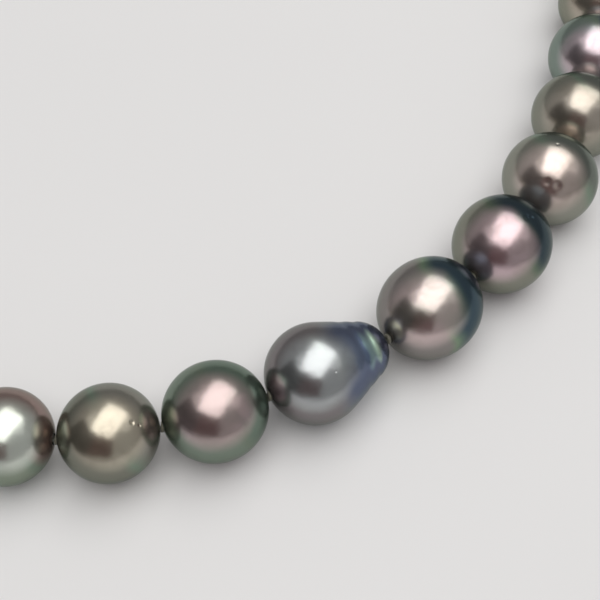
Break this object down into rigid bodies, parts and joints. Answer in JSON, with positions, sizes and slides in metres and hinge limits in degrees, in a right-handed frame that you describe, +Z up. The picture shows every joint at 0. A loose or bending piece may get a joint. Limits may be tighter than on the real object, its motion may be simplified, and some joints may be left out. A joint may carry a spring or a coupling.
{
  "type": "pearl necklace",
  "caption": "Knotted strand of graduated dark pearls with one drop-shaped pearl, lying open in a U with its lobster clasp undone.",
  "frame": {"origin": "the point where the front pearl, the largest, touches the surface that the necklace lies on", "axes": "+X along the strand at the front pearl, towards the right arm; +Y from the front pearl towards the open ends; +Z up from the surface"},
  "size_m": [0.1796, 0.1868, 0.0109],
  "materials": {
    "nacre_taupe": "gloss",
    "nacre_rose": "gloss",
    "nacre_green": "gloss",
    "nacre_champagne": "gloss",
    "nacre_silver": "gloss",
    "nacre_violet": "gloss",
    "silk": "matte",
    "loop_wire": "satin",
    "white_gold": "polished",
    "spring_steel": "satin"
  },
  "bodies": {
    "front": {"pearl_front": "nacre_rose", "silk_thread": "silk"},
    "right_01": {"pearl_right_01": "nacre_champagne"},
    "right_02": {"pearl_right_02": "nacre_taupe"},
    "right_03": {"pearl_right_03": "nacre_green"},
    "right_04": {"pearl_right_04": "nacre_taupe"},
    "right_05": {"pearl_right_05": "nacre_silver"},
    "right_06": {"pearl_right_06": "nacre_taupe"},
    "right_07": {"pearl_right_07": "nacre_rose"},
    "right_08": {"pearl_right_08": "nacre_green"},
    "right_09": {"pearl_right_09": "nacre_green"},
    "right_10": {"pearl_right_10": "nacre_champagne"},
    "right_11": {"pearl_right_11": "nacre_taupe"},
    "right_12": {"pearl_right_12": "nacre_silver"},
    "right_13": {"pearl_right_13": "nacre_taupe"},
    "right_14": {"pearl_right_14": "nacre_rose"},
    "right_15": {"pearl_right_15": "nacre_green"},
    "right_16": {"pearl_right_16": "nacre_green"},
    "right_17": {"pearl_right_17": "nacre_champagne"},
    "right_18": {"pearl_right_18": "nacre_taupe"},
    "right_19": {"pearl_right_19": "nacre_silver"},
    "right_20": {"pearl_right_20": "nacre_taupe"},
    "left_01": {"pearl_left_01": "nacre_green"},
    "left_02": {"pearl_left_02_drop": "nacre_violet"},
    "left_03": {"pearl_left_03": "nacre_green"},
    "left_04": {"pearl_left_04": "nacre_taupe"},
    "left_05": {"pearl_left_05": "nacre_silver"},
    "left_06": {"pearl_left_06": "nacre_champagne"},
    "left_07": {"pearl_left_07": "nacre_taupe"},
    "left_08": {"pearl_left_08": "nacre_silver"},
    "left_09": {"pearl_left_09": "nacre_taupe"},
    "left_10": {"pearl_left_10": "nacre_rose"},
    "left_11": {"pearl_left_11": "nacre_green"},
    "left_12": {"pearl_left_12": "nacre_green"},
    "left_13": {"pearl_left_13": "nacre_champagne"},
    "left_14": {"pearl_left_14": "nacre_taupe"},
    "left_15": {"pearl_left_15": "nacre_silver"},
    "left_16": {"pearl_left_16": "nacre_taupe"},
    "left_17": {"pearl_left_17": "nacre_rose"},
    "left_18": {"pearl_left_18": "nacre_green"},
    "left_19": {"pearl_left_19": "nacre_green"},
    "left_20": {"pearl_left_20": "nacre_champagne"},
    "wire_loop_left": {"wire_loop_left": "loop_wire"},
    "wire_loop_right": {"wire_loop_right": "loop_wire"},
    "clasp": {"clasp_hook": "white_gold", "clasp_pin": "white_gold", "clasp_spring": "spring_steel"},
    "lever": {"clasp_lever": "white_gold"},
    "tag": {"end_tag": "white_gold"}
  },
  "joints": [
    {"name": "right_01_lift", "type": "hinge", "parent": "front", "child": "right_01", "pos_m": [0.00578, 0, 0.0054], "axis": [0.0941, -0.9956, 0], "range_deg": [-28, 28], "deforming": ["silk_thread"]},
    {"name": "right_02_turn", "type": "hinge", "parent": "right_01", "child": "right_02", "pos_m": [0.01636, 0.00202, 0.00539], "axis": [0, 0, 1], "range_deg": [-34, 16.5], "deforming": ["silk_thread"]},
    {"name": "right_03_lift", "type": "hinge", "parent": "right_02", "child": "right_03", "pos_m": [0.02616, 0.00548, 0.00534], "axis": [-0.3726, 0.928, 0], "range_deg": [-17, 17], "deforming": ["silk_thread"]},
    {"name": "right_04_turn", "type": "hinge", "parent": "right_03", "child": "right_04", "pos_m": [0.03569, 0.00978, 0.00524], "axis": [0, 0, -1], "range_deg": [-15, 23.5], "deforming": ["silk_thread"]},
    {"name": "right_05_lift", "type": "hinge", "parent": "right_04", "child": "right_05", "pos_m": [0.0447, 0.01469, 0.00506], "axis": [-0.5101, 0.8601, 0], "range_deg": [-20.5, 20.5], "deforming": ["silk_thread"]},
    {"name": "right_06_turn", "type": "hinge", "parent": "right_05", "child": "right_06", "pos_m": [0.05312, 0.02011, 0.00494], "axis": [0, 0, 1], "range_deg": [-36.5, 28], "deforming": ["silk_thread"]},
    {"name": "right_07_lift", "type": "hinge", "parent": "right_06", "child": "right_07", "pos_m": [0.06169, 0.02656, 0.00483], "axis": [-0.6305, 0.7762, 0], "range_deg": [-32.5, 32.5], "deforming": ["silk_thread"]},
    {"name": "right_08_turn", "type": "hinge", "parent": "right_07", "child": "right_08", "pos_m": [0.06881, 0.03279, 0.00473], "axis": [0, 0, -1], "range_deg": [-19, 27.5], "deforming": ["silk_thread"]},
    {"name": "right_09_lift", "type": "hinge", "parent": "right_08", "child": "right_09", "pos_m": [0.07573, 0.03981, 0.00471], "axis": [0.7371, -0.6758, 0], "range_deg": [-24, 24], "deforming": ["silk_thread"]},
    {"name": "right_10_turn", "type": "hinge", "parent": "right_09", "child": "right_10", "pos_m": [0.08205, 0.04723, 0.00461], "axis": [0, 0, 1], "range_deg": [-28, 19.5], "deforming": ["silk_thread"]},
    {"name": "right_11_lift", "type": "hinge", "parent": "right_10", "child": "right_11", "pos_m": [0.08743, 0.05458, 0.00459], "axis": [0.8279, -0.5608, 0], "range_deg": [-33, 33], "deforming": ["silk_thread"]},
    {"name": "right_12_turn", "type": "hinge", "parent": "right_11", "child": "right_12", "pos_m": [0.09277, 0.06311, 0.00456], "axis": [0, 0, -1], "range_deg": [-29.5, 38], "deforming": ["silk_thread"]},
    {"name": "right_13_lift", "type": "hinge", "parent": "right_12", "child": "right_13", "pos_m": [0.09704, 0.07121, 0.00449], "axis": [0.901, -0.4339, 0], "range_deg": [-23, 23], "deforming": ["silk_thread"]},
    {"name": "right_14_turn", "type": "hinge", "parent": "right_13", "child": "right_14", "pos_m": [0.1007, 0.07959, 0.00451], "axis": [0, 0, 1], "range_deg": [-29.5, 21], "deforming": ["silk_thread"]},
    {"name": "right_15_lift", "type": "hinge", "parent": "right_14", "child": "right_15", "pos_m": [0.1039, 0.08866, 0.00446], "axis": [-0.9547, 0.2976, 0], "range_deg": [-24.5, 24.5], "deforming": ["silk_thread"]},
    {"name": "right_16_turn", "type": "hinge", "parent": "right_15", "child": "right_16", "pos_m": [0.1062, 0.09714, 0.00444], "axis": [0, 0, -1], "range_deg": [-29, 37.5], "deforming": ["silk_thread"]},
    {"name": "right_17_lift", "type": "hinge", "parent": "right_16", "child": "right_17", "pos_m": [0.10805, 0.10661, 0.00446], "axis": [-0.9879, 0.1549, 0], "range_deg": [-34, 34], "deforming": ["silk_thread"]},
    {"name": "right_18_turn", "type": "hinge", "parent": "right_17", "child": "right_18", "pos_m": [0.10914, 0.11577, 0.0044], "axis": [0, 0, 1], "range_deg": [-28, 19.5], "deforming": ["silk_thread"]},
    {"name": "right_19_lift", "type": "hinge", "parent": "right_18", "child": "right_19", "pos_m": [0.10954, 0.1245, 0.00442], "axis": [1, -0.009, 0], "range_deg": [-25, 25], "deforming": ["silk_thread"]},
    {"name": "right_20_turn", "type": "hinge", "parent": "right_19", "child": "right_20", "pos_m": [0.10928, 0.13405, 0.00441], "axis": [0, 0, -1], "range_deg": [-21, 29.5], "deforming": ["silk_thread"]},
    {"name": "left_01_lift", "type": "hinge", "parent": "front", "child": "left_01", "pos_m": [-0.00578, 0, 0.00538], "axis": [0.0941, 0.9956, 0], "range_deg": [-30, 30], "deforming": ["silk_thread"]},
    {"name": "left_02_turn", "type": "hinge", "parent": "left_01", "child": "left_02", "pos_m": [-0.01762, 0.00226, 0.00531], "axis": [0, 0, -1], "range_deg": [-46.5, 25], "deforming": ["silk_thread"]},
    {"name": "left_03_lift", "type": "hinge", "parent": "left_02", "child": "left_03", "pos_m": [-0.0304, 0.00732, 0.0052], "axis": [-0.454, -0.891, 0], "range_deg": [-21, 21], "deforming": ["silk_thread"]},
    {"name": "left_04_turn", "type": "hinge", "parent": "left_03", "child": "left_04", "pos_m": [-0.03964, 0.01318, 0.00505], "axis": [0, 0, 1], "range_deg": [-13, 34.5], "deforming": ["silk_thread"]},
    {"name": "left_05_lift", "type": "hinge", "parent": "left_04", "child": "left_05", "pos_m": [-0.04717, 0.02025, 0.00492], "axis": [-0.7492, -0.6623, 0], "range_deg": [-21.5, 21.5], "deforming": ["silk_thread"]},
    {"name": "left_06_turn", "type": "hinge", "parent": "left_05", "child": "left_06", "pos_m": [-0.05308, 0.02834, 0.00484], "axis": [0, 0, -1], "range_deg": [-41, 20], "deforming": ["silk_thread"]},
    {"name": "left_07_lift", "type": "hinge", "parent": "left_06", "child": "left_07", "pos_m": [-0.05727, 0.03707, 0.00483], "axis": [-0.9356, -0.3531, 0], "range_deg": [-31, 31], "deforming": ["silk_thread"]},
    {"name": "left_08_turn", "type": "hinge", "parent": "left_07", "child": "left_08", "pos_m": [-0.06009, 0.04708, 0.00477], "axis": [0, 0, 1], "range_deg": [-15.5, 33.5], "deforming": ["silk_thread"]},
    {"name": "left_09_lift", "type": "hinge", "parent": "left_08", "child": "left_09", "pos_m": [-0.0612, 0.05652, 0.00466], "axis": [0.9987, 0.0509, 0], "range_deg": [-22, 22], "deforming": ["silk_thread"]},
    {"name": "left_10_turn", "type": "hinge", "parent": "left_09", "child": "left_10", "pos_m": [-0.06105, 0.06588, 0.00465], "axis": [0, 0, -1], "range_deg": [-30.5, 19], "deforming": ["silk_thread"]},
    {"name": "left_11_lift", "type": "hinge", "parent": "left_10", "child": "left_11", "pos_m": [-0.05987, 0.07583, 0.00458], "axis": [0.9879, -0.155, 0], "range_deg": [-33, 33], "deforming": ["silk_thread"]},
    {"name": "left_12_turn", "type": "hinge", "parent": "left_11", "child": "left_12", "pos_m": [-0.05813, 0.08476, 0.00453], "axis": [0, 0, 1], "range_deg": [-29.5, 36], "deforming": ["silk_thread"]},
    {"name": "left_13_lift", "type": "hinge", "parent": "left_12", "child": "left_13", "pos_m": [-0.05578, 0.09414, 0.00454], "axis": [0.9656, -0.2601, 0], "range_deg": [-25, 25], "deforming": ["silk_thread"]},
    {"name": "left_14_turn", "type": "hinge", "parent": "left_13", "child": "left_14", "pos_m": [-0.05318, 0.10313, 0.00447], "axis": [0, 0, -1], "range_deg": [-25.5, 22.5], "deforming": ["silk_thread"]},
    {"name": "left_15_lift", "type": "hinge", "parent": "left_14", "child": "left_15", "pos_m": [-0.05054, 0.11153, 0.00447], "axis": [-0.9514, 0.3081, 0], "range_deg": [-25, 25], "deforming": ["silk_thread"]},
    {"name": "left_16_turn", "type": "hinge", "parent": "left_15", "child": "left_16", "pos_m": [-0.04746, 0.12079, 0.00446], "axis": [0, 0, 1], "range_deg": [-33.5, 34.5], "deforming": ["silk_thread"]},
    {"name": "left_17_lift", "type": "hinge", "parent": "left_16", "child": "left_17", "pos_m": [-0.04451, 0.12932, 0.00441], "axis": [-0.9439, 0.3303, 0], "range_deg": [-33, 33], "deforming": ["silk_thread"]},
    {"name": "left_18_turn", "type": "hinge", "parent": "left_17", "child": "left_18", "pos_m": [-0.04144, 0.13797, 0.00444], "axis": [0, 0, -1], "range_deg": [-26, 24.5], "deforming": ["silk_thread"]},
    {"name": "left_19_lift", "type": "hinge", "parent": "left_18", "child": "left_19", "pos_m": [-0.03824, 0.14684, 0.0044], "axis": [0.94, -0.3413, 0], "range_deg": [-24.5, 24.5], "deforming": ["silk_thread"]},
    {"name": "left_20_turn", "type": "hinge", "parent": "left_19", "child": "left_20", "pos_m": [-0.0353, 0.1549, 0.00439], "axis": [0, 0, 1], "range_deg": [-24.5, 25], "deforming": ["silk_thread"]},
    {"name": "right_wire_loop_swing", "type": "hinge", "parent": "right_20", "child": "wire_loop_right", "pos_m": [0.10839, 0.14277, 0.00434], "axis": [0.9949, 0.1008, 0], "range_deg": [-7, 75], "deforming": ["silk_thread"]},
    {"name": "left_wire_loop_swing", "type": "hinge", "parent": "left_20", "child": "wire_loop_left", "pos_m": [-0.03201, 0.16382, 0.00445], "axis": [0.9382, -0.346, 0], "range_deg": [-6, 76], "deforming": ["silk_thread"]},
    {"name": "clasp_swivel", "type": "hinge", "parent": "wire_loop_left", "child": "clasp", "pos_m": [-0.0305, 0.16791, 0.0015], "axis": [0, 0, 1], "range_deg": [-60, 60]},
    {"name": "lever_pivot", "type": "hinge", "parent": "clasp", "child": "lever", "pos_m": [-0.03063, 0.17335, 0.0015], "axis": [0, 0, -1], "range_deg": [0, 26], "stiffness_Nm_per_rad": 0.0005, "springref_deg": -28.65, "deforming": ["clasp_spring"]},
    {"name": "tag_swivel", "type": "hinge", "parent": "wire_loop_right", "child": "tag", "pos_m": [0.10795, 0.14713, 0.00154], "axis": [-0.0139, 0.1367, 0.9905], "range_deg": [-50, 50]}
  ]
}
